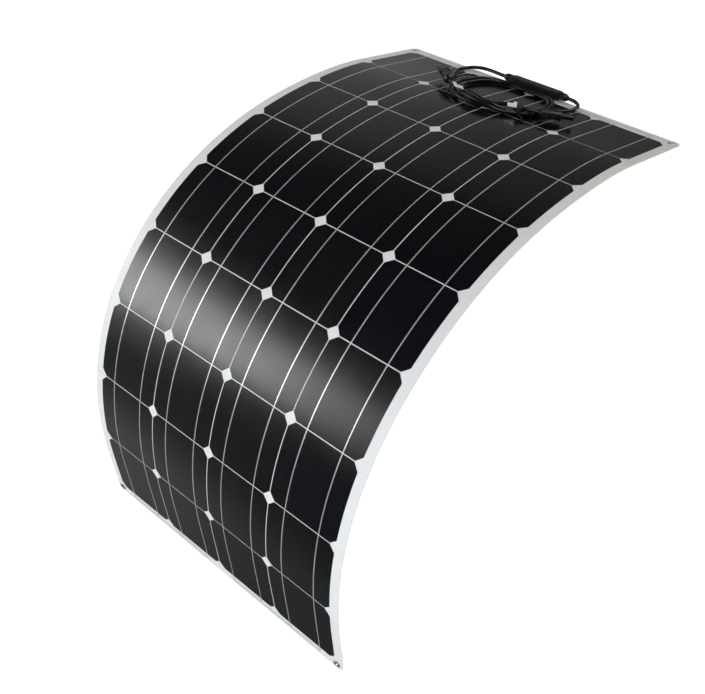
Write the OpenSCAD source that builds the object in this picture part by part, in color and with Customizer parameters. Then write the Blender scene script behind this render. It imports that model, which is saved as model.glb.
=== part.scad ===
// Flexible solar sheet: 36 mono cells in a thin bendable laminate, with a slim
// junction box on its top margin and two leads wound into one loose coil.
// Frame: origin midway between the two top eyelets on the rear face, +X across
// the sheet, the sheet runs towards -Y and droops, +Z out of the front face.

/* [Sheet] */
// Side of one square cell
cell_size = 126; // [120:0.5:127]
// Gap between neighbouring cells
cell_gap = 1.5; // [1.3:0.1:3]
// Cell columns across the sheet
columns = 4; // [4:2:6]
// Margin from the outer cells to the side edges
side_margin = 15.75; // [14:0.25:24]
// Margin above the first row of cells
top_margin = 24.5; // [24:0.5:30]
// Margin below the last row of cells
bottom_margin = 19.5; // [18:0.5:30]
// Thickness of the finished laminate
sheet_t = 2.5; // [2.4:0.1:3]
// Radius of the four sheet corners
corner_r = 10; // [4:1:14]
// Leg of the clipped corner of a cell
cell_chamfer = 10; // [6:0.5:16]
// Width of a tab ribbon
ribbon_w = 1.6; // [1:0.1:2.5]

/* [Eyelets] */
// Distance of an eyelet from the two edges beside it
eyelet_inset = 12; // [11:0.5:12.5]
// Diameter of the clear hole through an eyelet
eyelet_hole = 8; // [6:0.5:9]
// Diameter of the eyelet's flanges
eyelet_flange = 13; // [12:0.5:18]

/* [Junction box] */
// Length of the box body between its two end walls
box_l = 98; // [90:1:104]
// Depth of the box body
box_w = 18; // [17:0.5:20]
// Height of the closed box above the sheet, with its adhesive pad
box_h = 13; // [13:0.5:16]
// Diameter of a gland nut
gland_d = 13.6; // [13:0.1:14]

/* [Leads] */
// Outer diameter of a lead
cable_d = 6; // [5:0.1:6]
// Diameter of a connector's coupling nut
connector_nut_d = 17; // [16:0.5:17.5]

/* [Hidden] */
$fn = 48;

// --- Sheet ---------------------------------------------------------------
// Bend at each gap between two rows, from the top, in degrees.
row_bends = [6, 9, 12, 15, 17, 19, 16, 10];
last_row = len(row_bends) + 1;
pitch = cell_size + cell_gap;
sheet_w = columns * pitch - cell_gap + 2 * side_margin;
first_gap_y = eyelet_inset - top_margin + cell_gap / 2;
// Clearance between two row strips, so that they clear each other as they turn.
strip_gap = 1;
cell_z = 0.35;
cell_t = 0.2;
ribbon_t = 0.15;
ribbon_offset = 32;
bus_w = 3;
eyelet_x = sheet_w / 2 - eyelet_inset;
eyelet_wall = 0.75;
eyelet_lip = 0.6;
fit_gap = 0.05;

function bend_before(row) = row <= 1 ? 0 : bend_before(row - 1) + row_bends[row - 2];
function gap_point(gap) =
    gap == 0
        ? [0, first_gap_y, sheet_t / 2]
        : gap_point(gap - 1) - pitch * [0, cos(bend_before(gap)), sin(bend_before(gap))];

// Puts children, drawn with the gap above the row at y = 0 and the middle of
// the laminate at z = 0, where that row lies on the bent sheet.
module on_row(row) {
    translate(gap_point(row - 1)) rotate([bend_before(row), 0, 0]) children();
}

function row_top(row) = row == 1 ? top_margin - cell_gap / 2 : -strip_gap / 2;
function row_bottom(row) = row == last_row ? -pitch - bottom_margin + cell_gap / 2 : strip_gap / 2 - pitch;
function cell_x(column) = (column - (columns - 1) / 2) * pitch;

module strip_outline(row) {
    top = row_top(row);
    bottom = row_bottom(row);
    round_top = row == 1 ? corner_r : 0;
    round_bottom = row == last_row ? corner_r : 0;
    translate([-sheet_w / 2, bottom + round_bottom])
        square([sheet_w, top - bottom - round_top - round_bottom]);
    if (round_top > 0) rounded_end(top - round_top, 1);
    if (round_bottom > 0) rounded_end(bottom + round_bottom, -1);
}

// The last corner_r of the sheet, above (side 1) or below (side -1) a line.
module rounded_end(line_y, side) {
    translate([corner_r - sheet_w / 2, side > 0 ? line_y : line_y - corner_r])
        square([sheet_w - 2 * corner_r, corner_r]);
    intersection() {
        for (x = [corner_r - sheet_w / 2, sheet_w / 2 - corner_r])
            translate([x, line_y]) circle(corner_r);
        translate([-sheet_w / 2, side > 0 ? line_y : line_y - corner_r]) square([sheet_w, corner_r]);
    }
}

function eyelet_y(row) = row == 1 ? row_top(row) - eyelet_inset : row_bottom(row) + eyelet_inset;

module eyelet_holes(row) {
    if (row == 1 || row == last_row)
        for (x = [-eyelet_x, eyelet_x])
            translate([x, eyelet_y(row)]) circle(eyelet_hole / 2 + eyelet_wall + fit_gap);
}

module backsheet(row) {
    color("gainsboro") on_row(row)
        translate([0, 0, -sheet_t / 2]) linear_extrude(sheet_t / 2 + cell_z) difference() {
            strip_outline(row);
            eyelet_holes(row);
        }
}

module cell_outline() {
    half = cell_size / 2;
    cut = half - cell_chamfer;
    polygon([[cut, half], [half, cut], [half, -cut], [cut, -half],
             [-cut, -half], [-half, -cut], [-half, cut], [-cut, half]]);
}

module cell_solids() {
    for (column = [0 : columns - 1])
        translate([cell_x(column), -pitch / 2, cell_z]) linear_extrude(cell_t) cell_outline();
}

module cells(row) { color([0.02, 0.03, 0.05]) on_row(row) cell_solids(); }

box_bus_y = 11;
inner_bus_y = 4;
bottom_bus_y = pitch + 9;

function ribbon_top(row, column) =
    row > 1 ? row_top(row)
    : column == 0 || column == columns - 1 ? box_bus_y
    : inner_bus_y;

// Two tab ribbons on each column, and the wider bus ribbons in the end margins.
module ribbon_outline(row) {
    bottom = row == last_row ? -bottom_bus_y : row_bottom(row);
    for (column = [0 : columns - 1], side = [-1, 1])
        translate([cell_x(column) + side * ribbon_offset - ribbon_w / 2, bottom])
            square([ribbon_w, ribbon_top(row, column) - bottom]);
    if (row == 1) top_bus_outline();
    if (row == last_row) bottom_bus_outline();
}

module bus(x_from, x_to, y) { translate([x_from, y - bus_w / 2]) square([x_to - x_from, bus_w]); }

// The outer columns run to the box along the upper line, the inner ones join.
module top_bus_outline() {
    outer = cell_x(columns - 1) + ribbon_offset + ribbon_w;
    middle = cell_x(columns - 1) - ribbon_offset - ribbon_w;
    bus(-outer, -14, box_bus_y);
    bus(14, outer, box_bus_y);
    bus(6 - middle, middle - 6, inner_bus_y);
}

module bottom_bus_outline() {
    outer = cell_x(columns - 1) + ribbon_offset + ribbon_w;
    bus(-outer, -cell_x(columns / 2) + ribbon_offset + ribbon_w, -bottom_bus_y);
    bus(cell_x(columns / 2) - ribbon_offset - ribbon_w, outer, -bottom_bus_y);
}

module ribbon_solids(row) {
    translate([0, 0, cell_z + cell_t]) linear_extrude(ribbon_t) ribbon_outline(row);
}

module ribbons(row) { color("silver") on_row(row) ribbon_solids(row); }

// The clear film and its encapsulant, cast around the cells and ribbons.
module front_film(row) {
    color([0.75, 0.8, 0.85, 0.35]) on_row(row) difference() {
        translate([0, 0, cell_z]) linear_extrude(sheet_t / 2 - cell_z) difference() {
            strip_outline(row);
            eyelet_holes(row);
        }
        cell_solids();
        ribbon_solids(row);
    }
}

module eyelet_pair(row) {
    color("silver") on_row(row)
        for (x = [-eyelet_x, eyelet_x])
            translate([x, eyelet_y(row), 0]) difference() {
                union() {
                    for (side = [-1, 1])
                        translate([0, 0, side * (sheet_t + eyelet_lip) / 2])
                            cylinder(h = eyelet_lip, d = eyelet_flange, center = true);
                    cylinder(h = sheet_t, r = eyelet_hole / 2 + eyelet_wall, center = true);
                }
                cylinder(h = sheet_t + 4, d = eyelet_hole, center = true);
            }
}

// --- Junction box --------------------------------------------------------
box_x = -3;
box_y = 9;
pad_t = 1;
pad_w = 9.5;
lid_t = 1.6;
gasket_t = 0.4;
box_wall = 1.6;
box_corner = 3;
base_top = box_h - lid_t - gasket_t;
gland_z = 7.2;
stub_r = 3.8;
stub_l = 7;
port_r = cable_d / 2 + 0.2;
rib_step = 5;
rib_proud = 0.8;
nut_l = 13;
nut_clear = 0.6;
seal_l = 3;
plate_t = 0.6;
diode_r = 2.2;

module at_box() { translate([box_x, box_y, sheet_t]) children(); }

module rounded_rectangle(l, w, r) {
    square([l - 2 * r, w], center = true);
    square([l, w - 2 * r], center = true);
    for (x = [r - l / 2, l / 2 - r], y = [r - w / 2, w / 2 - r]) translate([x, y]) circle(r);
}

module adhesive_pad() {
    color("dimgray") translate([box_x, eyelet_inset - 1 - pad_w / 2, sheet_t])
        linear_extrude(pad_t) rounded_rectangle(box_l - 6, pad_w, 2);
}

module box_cavity() { rounded_rectangle(box_l - 2 * box_wall, box_w - 2 * box_wall, box_corner - box_wall); }

module gland_axis(side) { translate([0, 0, gland_z]) rotate([0, 90 * side, 0]) children(); }

module junction_box_base() {
    color([0.07, 0.07, 0.07]) at_box() difference() {
        union() {
            translate([0, 0, pad_t]) linear_extrude(base_top - pad_t) rounded_rectangle(box_l, box_w, box_corner);
            for (side = [-1, 1])
                gland_axis(side) cylinder(h = box_l / 2 + stub_l, r = stub_r);
            for (x = [rib_step - box_l / 2 + 2 : rib_step : box_l / 2 - rib_step])
                translate([x - rib_proud / 2, -box_w / 2 - rib_proud, pad_t + 0.6])
                    cube([rib_proud, box_w + 2 * rib_proud, base_top - pad_t - 1.6]);
        }
        translate([0, 0, pad_t + box_wall]) linear_extrude(box_h) box_cavity();
        for (side = [-1, 1])
            gland_axis(side) cylinder(h = box_l, r = port_r);
    }
}

// Two end plates with a tab that a lead's core meets, and a middle plate.
tab_x = 33;
tab_t = 0.8;
plate_z = pad_t + box_wall;
plate_w = 12;

module plate(x_from, x_to) {
    translate([x_from, -plate_w / 2, plate_z]) cube([x_to - x_from, plate_w, plate_t]);
}

module lead_tab(side) {
    translate([side * tab_x - tab_t / 2, -3.5, plate_z]) cube([tab_t, 7, gland_z + 4 - plate_z]);
}

module diode_post(x) {
    translate([x - 0.5, diode_y - 1, plate_z]) cube([1, 2, diode_z - diode_lead_r - plate_z]);
}

diode_y = -3;
diode_lead_r = 0.4;
diode_z = plate_z + plate_t + diode_r + 0.2;
diode_x = 12;
diode_l = 8;
diode_reach = 7;

module terminal_plates() {
    color("darkgoldenrod") at_box() {
        plate(-tab_x - 2, 1 - diode_x - diode_l / 2);
        plate(diode_l / 2 - diode_x + 0.5, diode_x - diode_l / 2 - 0.5);
        plate(diode_x + diode_l / 2 - 1, tab_x + 2);
        for (side = [-1, 1]) {
            lead_tab(side);
            diode_post(side * (diode_x + diode_reach - 1));
            diode_post(side * (diode_x - diode_reach + 1));
        }
    }
}

module bypass_diodes() {
    color([0.12, 0.12, 0.13]) at_box() for (side = [-1, 1])
        translate([side * diode_x, diode_y, diode_z]) rotate([0, 90, 0]) {
            cylinder(h = diode_l, r = diode_r, center = true);
            cylinder(h = 2 * diode_reach, r = diode_lead_r, center = true);
        }
}

lip_clear = 0.15;
lip_t = 1.2;
lip_h = 0.8;

module lid_gasket() {
    color([0.2, 0.2, 0.2]) at_box() translate([0, 0, base_top]) linear_extrude(gasket_t) difference() {
        rounded_rectangle(box_l - 0.6, box_w - 0.6, box_corner);
        box_cavity();
    }
}

module junction_box_lid() {
    inner_l = box_l - 2 * (box_wall + lip_clear);
    inner_w = box_w - 2 * (box_wall + lip_clear);
    inner_r = box_corner - box_wall;
    color([0.09, 0.09, 0.09]) at_box() {
        translate([0, 0, box_h - lid_t]) linear_extrude(lid_t - 0.8) rounded_rectangle(box_l, box_w, box_corner);
        translate([0, 0, box_h - 0.8]) linear_extrude(0.8) rounded_rectangle(box_l - 1.6, box_w - 1.6, box_corner);
        translate([0, 0, box_h - lid_t - lip_h]) linear_extrude(lip_h) difference() {
            rounded_rectangle(inner_l, inner_w, inner_r);
            rounded_rectangle(inner_l - 2 * lip_t, inner_w - 2 * lip_t, inner_r / 2);
        }
    }
}

module gland_seals() {
    color([0.25, 0.25, 0.25]) at_box() for (side = [-1, 1])
        gland_axis(side) translate([0, 0, box_l / 2 + stub_l]) difference() {
            cylinder(h = seal_l, r = stub_r - 0.2);
            translate([0, 0, -1]) cylinder(h = seal_l + 2, r = cable_d / 2 + 0.02);
        }
}

// A ridged nut with a domed nose, drawn along +Z from its open end at z = 0.
module ridged_nut(length, d, mouth_r, mouth_l, nose_r) {
    rib_r = 0.6;
    body_r = d / 2 - rib_r;
    dome = length * 0.3;
    difference() {
        union() {
            cylinder(h = length - dome, r = body_r);
            translate([0, 0, length - dome]) cylinder(h = dome, r1 = body_r, r2 = nose_r + 1.6);
            for (a = [0 : 36 : 324]) rotate([0, 0, a]) translate([body_r, 0, 0.5])
                cylinder(h = length - dome - 1, r = rib_r, $fn = 24);
        }
        translate([0, 0, -1]) cylinder(h = mouth_l + 1, r = mouth_r);
        cylinder(h = length + 1, r = nose_r);
    }
}

module gland_nut(side) {
    color([0.05, 0.05, 0.05]) at_box() gland_axis(side)
        translate([0, 0, box_l / 2 + nut_clear])
            ridged_nut(nut_l, gland_d, stub_r + fit_gap, stub_l + seal_l - nut_clear, cable_d / 2 + 0.2);
}

// --- Leads ---------------------------------------------------------------
coil_centre = [-12, -66];
low = 6.5;

// A station of the coil, from its angle, its radius and its height.
function turn(s) = [coil_centre[0] + s[1] * cos(s[0]), coil_centre[1] + s[1] * sin(s[0]), s[2]];

positive_lead = [
    [-36.4, 9, 9.7], [-52, 9, 9.7], [-66, 9, 9.7], [-84, 10, 9.7], [-101, 12, 9.4], [-116, 11, 8.8],
    [-128, 4, 8], [-135, -8, 7], [-138, -23, low], [-133, -42, low], [-123, -63, low], [-109, -86, low]
];
positive_turns = [
    [213, 93, low], [232, 93, low], [250, 92, low], [268, 88, low], [286, 83, low], [304, 79, low],
    [322, 76, low], [342, 73, low], [2, 72, low], [24, 70, low], [46, 64, low], [68, 53, low],
    [92, 49, low], [116, 56, low], [140, 67, low], [164, 70, low], [188, 71, low], [210, 73, low],
    [230, 74, low], [250, 73, low], [268, 72, low], [284, 71, 8.5]
];
positive_end = [[22, -128, 12], [37, -123.5, 13.4], [51, -120, 13.4], [65, -115.5, 13]];

negative_lead = [
    [30.4, 9, 9.7], [46, 9, 9.7], [62, 9, 9.7], [75, 6.5, 9.7], [86, -2, 9.4], [92, -13, 8.5],
    [93, -28, 7], [89, -46, low], [82, -62, low]
];
negative_turns = [
    [352, 90, low], [335, 92, low], [318, 93, low], [300, 93, 7], [286, 92, 10.8], [272, 91, 13.1],
    [258, 89, 13.1], [244, 86, 11], [230, 84, 7.6], [212, 85, low], [192, 84, low], [168, 84, low],
    [146, 80, low], [122, 67, low], [98, 58, low], [74, 60, low], [50, 72, low], [28, 77, low],
    [4, 79, low], [344, 81, low], [328, 85, low], [314, 86, low], [301, 86, 8.8], [289, 85, 12.8],
    [276, 82, 14.4], [262, 80, 15.8], [249, 82, 17.2]
];
negative_end = [[-60, -141, 18], [-75, -136.5, 18]];

// Each connector lies along its own line: rear end, then heading in degrees.
socket_rear = [78, -109, 12.8];
socket_heading = 32;
pin_rear = [-86, -128.5, 18];
pin_heading = 137;
// How far a lead runs into its connector before it meets the contact.
lead_in = 14;

function ahead(rear, heading, d) = rear + d * [cos(heading), sin(heading), 0];

positive_route = concat(positive_lead, [for (s = positive_turns) turn(s)], positive_end,
    [socket_rear, ahead(socket_rear, socket_heading, lead_in)]);
negative_route = concat(negative_lead, [for (s = negative_turns) turn(s)], negative_end,
    [pin_rear, ahead(pin_rear, pin_heading, lead_in)]);

tube_sides = 10;

function unit(v) = v / norm(v);
function heading_at(route, i) =
    i == 0 ? unit(route[1] - route[0])
    : i == len(route) - 1 ? unit(route[i] - route[i - 1])
    : unit(unit(route[i + 1] - route[i]) + unit(route[i] - route[i - 1]));
function ring_at(centre, forward) =
    let (across = unit(cross(forward, [0, 0, 1])), up = cross(across, forward))
    [for (k = [0 : tube_sides - 1])
        centre + cable_d / 2 * (cos(360 * k / tube_sides) * across + sin(360 * k / tube_sides) * up)];
function tube_points(route) = [for (i = [0 : len(route) - 1]) each ring_at(route[i], heading_at(route, i))];
function tube_faces(rings) = concat(
    [[for (k = [0 : tube_sides - 1]) k]],
    [for (i = [0 : rings - 2], k = [0 : tube_sides - 1])
        let (a = i * tube_sides + k, b = i * tube_sides + (k + 1) % tube_sides)
        [a, a + tube_sides, b + tube_sides, b]],
    [[for (k = [tube_sides - 1 : -1 : 0]) (rings - 1) * tube_sides + k]]
);

module lead(route) { polyhedron(points = tube_points(route), faces = tube_faces(len(route))); }

module cable_positive() { color([0.04, 0.04, 0.04]) lead(positive_route); }
module cable_negative() { color([0.04, 0.04, 0.04]) lead(negative_route); }

// The tie stands across the coil where all four strands run side by side.
tie_angle = 317;
tie_inner = 72.8;
tie_outer = 97.4;
tie_low = 3.4;
tie_high = 17.4;
tie_band = 0.8;
tie_width = 4;

module tie_frame() {
    translate([coil_centre[0], coil_centre[1], 0]) rotate([0, 0, tie_angle]) children();
}

module tie_outline(grow) {
    translate([(tie_inner + tie_outer) / 2, (tie_low + tie_high) / 2])
        rounded_rectangle(tie_outer - tie_inner + 2 * grow, tie_high - tie_low + 2 * grow, 2.5);
}

module cable_tie() {
    color([0.03, 0.03, 0.03]) tie_frame() {
        rotate([90, 0, 0]) linear_extrude(tie_width, center = true) difference() {
            tie_outline(tie_band);
            tie_outline(0);
        }
        translate([tie_outer + 0.4, -3, 5]) cube([4.5, 6, 5]);
        translate([tie_outer + 4.5, -1.5, 6.6]) rotate([0, 8, 0]) cube([22, 3, 1]);
    }
}

// Plain warning tags, each folded over the strand that it stands on.
module tag(place, heading, lean, length) {
    translate(place) rotate([0, 0, heading]) rotate([lean, 0, 0]) {
        translate([-length / 2, 0, 0]) cube([length, 0.5, 7]);
        translate([0.1 * length, 0, 6.5]) cube([0.4 * length, 0.5, 4]);
    }
}

module cable_tags() {
    color("white") {
        tag([-52, -146, 18], 175, -35, 20);
        tag([41, -128.3, 12.4], 20, 20, 15);
    }
}

// --- Connectors ----------------------------------------------------------
coupling_l = 18;
barrel_from = 18.6;
barrel_to = 36;
nose_to = 56;
thread_r = 6.4;
barrel_r = 7.6;
flange_r = 8.3;
crimp_r = 2.6;
shoulder_r = 3.1;
web_from = 30;
web_to = 34;
pin_r = 1.95;
socket_r = 2.05;
contact_r = 2.9;
nose_r = 4.3;
shroud_r = 6.6;
shroud_bore_r = 4.6;
contact_to = 54;
window = 5;

// Places children, drawn along +Z from the connector's rear end.
module along(rear, heading) { translate(rear) rotate([0, 0, heading]) rotate([0, 90, 0]) children(); }
module in_pin_connector() { along(pin_rear, pin_heading) children(); }
module in_socket_connector() { along(socket_rear, socket_heading) children(); }

module tube_part(from, to, r) { translate([0, 0, from]) cylinder(h = to - from, r = r); }

// Threaded stub, ribbed barrel and front flange that both halves share.
module connector_barrel() {
    tube_part(6.5, barrel_from + 1, thread_r);
    tube_part(barrel_from, barrel_to, barrel_r);
    tube_part(barrel_from, barrel_from + 2, flange_r);
    tube_part(barrel_to - 3, barrel_to, flange_r);
    for (a = [0 : 30 : 330]) rotate([0, 0, a]) translate([barrel_r, 0, barrel_from + 1])
        cylinder(h = 9, r = 0.5, $fn = 24);
}

module contact_chamber() {
    tube_part(0, web_from, cable_d / 2 + 0.2);
    tube_part(web_from - 1, web_to + 1, pin_r + fit_gap);
}

module pin_connector_body() {
    color([0.05, 0.05, 0.05]) in_pin_connector() difference() {
        union() {
            connector_barrel();
            tube_part(barrel_to, nose_to, shroud_r);
        }
        contact_chamber();
        tube_part(web_to, nose_to + 1, shroud_bore_r);
    }
}

module socket_connector_body() {
    color([0.05, 0.05, 0.05]) in_socket_connector() difference() {
        union() {
            connector_barrel();
            tube_part(barrel_to, nose_to, nose_r);
        }
        tube_part(0, web_from, cable_d / 2 + 0.2);
        tube_part(web_from - 1, contact_to, contact_r + fit_gap);
        tube_part(contact_to - 1, nose_to + 1, socket_r + 0.25);
        for (side = [-1, 1]) translate([-window / 2, side * 8.4 - 1.2, barrel_to - 9])
            cube([window, 2.4, window]);
    }
}

module coupling_nut() {
    ridged = barrel_from - 0.6;
    translate([0, 0, ridged]) mirror([0, 0, 1])
        ridged_nut(coupling_l, connector_nut_d, thread_r + fit_gap, coupling_l - 6, cable_d / 2 + 0.2);
}

module pin_connector_nut() { color([0.06, 0.06, 0.06]) in_pin_connector() coupling_nut(); }
module socket_connector_nut() { color([0.06, 0.06, 0.06]) in_socket_connector() coupling_nut(); }

module pin_contact() {
    color("silver") in_pin_connector() {
        tube_part(lead_in, web_from - 3, crimp_r);
        tube_part(web_from - 3, web_from, shoulder_r);
        tube_part(web_from, contact_to - 1, pin_r);
        translate([0, 0, contact_to - 1]) cylinder(h = 1, r1 = pin_r, r2 = pin_r - 0.8);
    }
}

module socket_contact() {
    color("silver") in_socket_connector() difference() {
        union() {
            tube_part(lead_in, web_from, crimp_r);
            tube_part(web_from, contact_to, contact_r);
        }
        tube_part(web_to, contact_to + 1, socket_r);
    }
}

module connector_o_ring() {
    ring_r = 0.7;
    color([0.1, 0.1, 0.1]) in_socket_connector()
        translate([0, 0, barrel_to + ring_r]) rotate_extrude()
            translate([nose_r + ring_r, 0]) circle(ring_r, $fn = 24);
}

// A spring arm beside the shroud: a rounded root, a long tongue and a hook.
arm_root = 37.4;
arm_tip = 63;
arm_low = 8;
arm_t = 1.9;
arm_w = 5;

module latch_arm(side) {
    color([0.05, 0.05, 0.05]) in_pin_connector() {
        translate([-arm_w / 2, side * (arm_low + arm_t / 2) - arm_t / 2, arm_root])
            cube([arm_w, arm_t, arm_tip - arm_root]);
        translate([0, side * (arm_low + arm_t / 2), arm_root]) rotate([0, 90, 0])
            cylinder(h = arm_w, r = arm_t / 2, center = true);
        translate([-arm_w / 2, side * (arm_low + 0.1) - (side > 0 ? 1 : 0), arm_tip - 3])
            cube([arm_w, 1, 3]);
    }
}

backsheet(1);  // backsheet_row_1
backsheet(2);  // backsheet_row_2
backsheet(3);  // backsheet_row_3
backsheet(4);  // backsheet_row_4
backsheet(5);  // backsheet_row_5
backsheet(6);  // backsheet_row_6
backsheet(7);  // backsheet_row_7
backsheet(8);  // backsheet_row_8
backsheet(9);  // backsheet_row_9
cells(1);  // cells_row_1
cells(2);  // cells_row_2
cells(3);  // cells_row_3
cells(4);  // cells_row_4
cells(5);  // cells_row_5
cells(6);  // cells_row_6
cells(7);  // cells_row_7
cells(8);  // cells_row_8
cells(9);  // cells_row_9
ribbons(1);  // ribbons_row_1
ribbons(2);  // ribbons_row_2
ribbons(3);  // ribbons_row_3
ribbons(4);  // ribbons_row_4
ribbons(5);  // ribbons_row_5
ribbons(6);  // ribbons_row_6
ribbons(7);  // ribbons_row_7
ribbons(8);  // ribbons_row_8
ribbons(9);  // ribbons_row_9
front_film(1);  // front_film_row_1
front_film(2);  // front_film_row_2
front_film(3);  // front_film_row_3
front_film(4);  // front_film_row_4
front_film(5);  // front_film_row_5
front_film(6);  // front_film_row_6
front_film(7);  // front_film_row_7
front_film(8);  // front_film_row_8
front_film(9);  // front_film_row_9
eyelet_pair(1);  // eyelets_top
eyelet_pair(last_row);  // eyelets_bottom
adhesive_pad();
junction_box_base();
terminal_plates();
bypass_diodes();
lid_gasket();
junction_box_lid();
gland_seals();
gland_nut(-1);  // gland_nut_left
gland_nut(1);  // gland_nut_right
cable_positive();
cable_negative();
cable_tie();
cable_tags();
pin_connector_body();
pin_connector_nut();
pin_contact();
latch_arm(1);  // latch_arm_left
latch_arm(-1);  // latch_arm_right
socket_connector_body();
socket_connector_nut();
socket_contact();
connector_o_ring();
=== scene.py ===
"""Looks of the flexible solar sheet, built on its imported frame. Metres, in the frame of the part."""

import math

import bmesh
import bpy
import numpy as np
from mathutils import Matrix, Vector


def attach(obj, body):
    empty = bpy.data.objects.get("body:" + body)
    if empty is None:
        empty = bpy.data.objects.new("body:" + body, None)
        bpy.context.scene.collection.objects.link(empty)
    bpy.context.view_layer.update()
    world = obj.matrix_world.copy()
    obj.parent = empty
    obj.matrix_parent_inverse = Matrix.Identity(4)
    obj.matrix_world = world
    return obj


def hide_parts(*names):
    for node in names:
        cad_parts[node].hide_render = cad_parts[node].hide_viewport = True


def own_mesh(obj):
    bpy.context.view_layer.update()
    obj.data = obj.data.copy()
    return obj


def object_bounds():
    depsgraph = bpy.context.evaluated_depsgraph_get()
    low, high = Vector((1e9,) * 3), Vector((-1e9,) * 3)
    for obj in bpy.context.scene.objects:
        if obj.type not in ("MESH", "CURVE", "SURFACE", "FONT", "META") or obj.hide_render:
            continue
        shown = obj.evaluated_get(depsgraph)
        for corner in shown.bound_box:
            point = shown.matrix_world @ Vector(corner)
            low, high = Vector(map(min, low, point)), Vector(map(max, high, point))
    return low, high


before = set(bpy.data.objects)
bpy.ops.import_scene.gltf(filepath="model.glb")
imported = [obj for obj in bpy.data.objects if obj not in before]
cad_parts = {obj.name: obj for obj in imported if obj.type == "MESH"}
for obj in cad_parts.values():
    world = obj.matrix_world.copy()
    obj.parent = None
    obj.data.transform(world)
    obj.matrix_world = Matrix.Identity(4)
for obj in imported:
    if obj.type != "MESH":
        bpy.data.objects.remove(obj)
cad_low, cad_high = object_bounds()
MM = 0.001

# --- Sheet dimensions, in millimetres, as the part has them -------------------
ROW_BENDS = [6, 9, 12, 15, 17, 19, 16, 10]
ROWS = len(ROW_BENDS) + 1
CELL = 126
GAP = 1.5
PITCH = CELL + GAP
COLUMNS = 4
CHAMFER = 10
SHEET_W = 540
SHEET_T = 2.5
TOP_MARGIN = 24.5
BOTTOM_MARGIN = 19.5
EYELET_INSET = 12
EYELET_CUT_R = 4.8
CORNER_R = 10
RIBBON_W = 1.6
RIBBON_OFFSET = 32
BUS_W = 3
# How far the bus ribbons lie from the first row's upper end, for the outer and the
# inner columns, and from the last row's lower end.
BOX_BUS_Y, INNER_BUS_Y = 11, 4
BOTTOM_BUS_Y = 9
# How far the upper bus ribbons stop from the middle of the sheet, and how far the inner
# columns' ribbon stops from the outer columns' tabs.
BUS_STOP, INNER_BUS_STOP = 14, 6
# Heights over the middle of the sheet's thickness. The film starts just inside the
# laminate below it, so that their faces don't coincide.
CELL_LOW, CELL_HIGH = 0.35, 0.55
RIBBON_HIGH = 0.70
BUS_HIGH = RIBBON_HIGH - 0.05
FILM_LOW = CELL_LOW + 0.005
FIRST_GAP_Y = EYELET_INSET - TOP_MARGIN + GAP / 2
# Strips that a row is cut into along its length, so that it can follow its curve.
BANDS = 20

# --- Camera -------------------------------------------------------------------
CAMERA_AT = (0.8413, -1.4611, 0.4927)
CAMERA_FORWARD = (-0.5244, 0.6671, -0.5292)
CAMERA_RIGHT = (0.7320, 0.6707, 0.1201)
CAMERA_LENS = 50.8
CAMERA_SENSOR = 36


def make_camera():
    data = bpy.data.cameras.new("camera")
    data.lens = CAMERA_LENS
    data.sensor_width = CAMERA_SENSOR
    camera = bpy.data.objects.new("camera", data)
    bpy.context.scene.collection.objects.link(camera)
    forward = Vector(CAMERA_FORWARD).normalized()
    up = Vector(CAMERA_RIGHT).cross(forward).normalized()
    right = forward.cross(up)
    axes = Matrix((right, up, -forward)).transposed()
    camera.matrix_world = Matrix.Translation(CAMERA_AT) @ axes.to_4x4()
    bpy.context.scene.camera = camera


# --- Materials ----------------------------------------------------------------
class NodeTree:
    """The few steps that the node trees of the materials and of the world share."""

    def __init__(self, tree):
        self.tree = tree

    def node(self, kind, **settings):
        made = self.tree.nodes.new(kind)
        for key, value in settings.items():
            setattr(made, key, value)
        return made

    def link(self, source, target):
        self.tree.links.new(source, target)

    def math(self, operation, first, second=0.5):
        made = self.node("ShaderNodeMath", operation=operation)
        for socket, value in zip(made.inputs, (first, second)):
            if isinstance(value, (int, float)):
                socket.default_value = value
            else:
                self.link(value, socket)
        return made.outputs[0]


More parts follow.
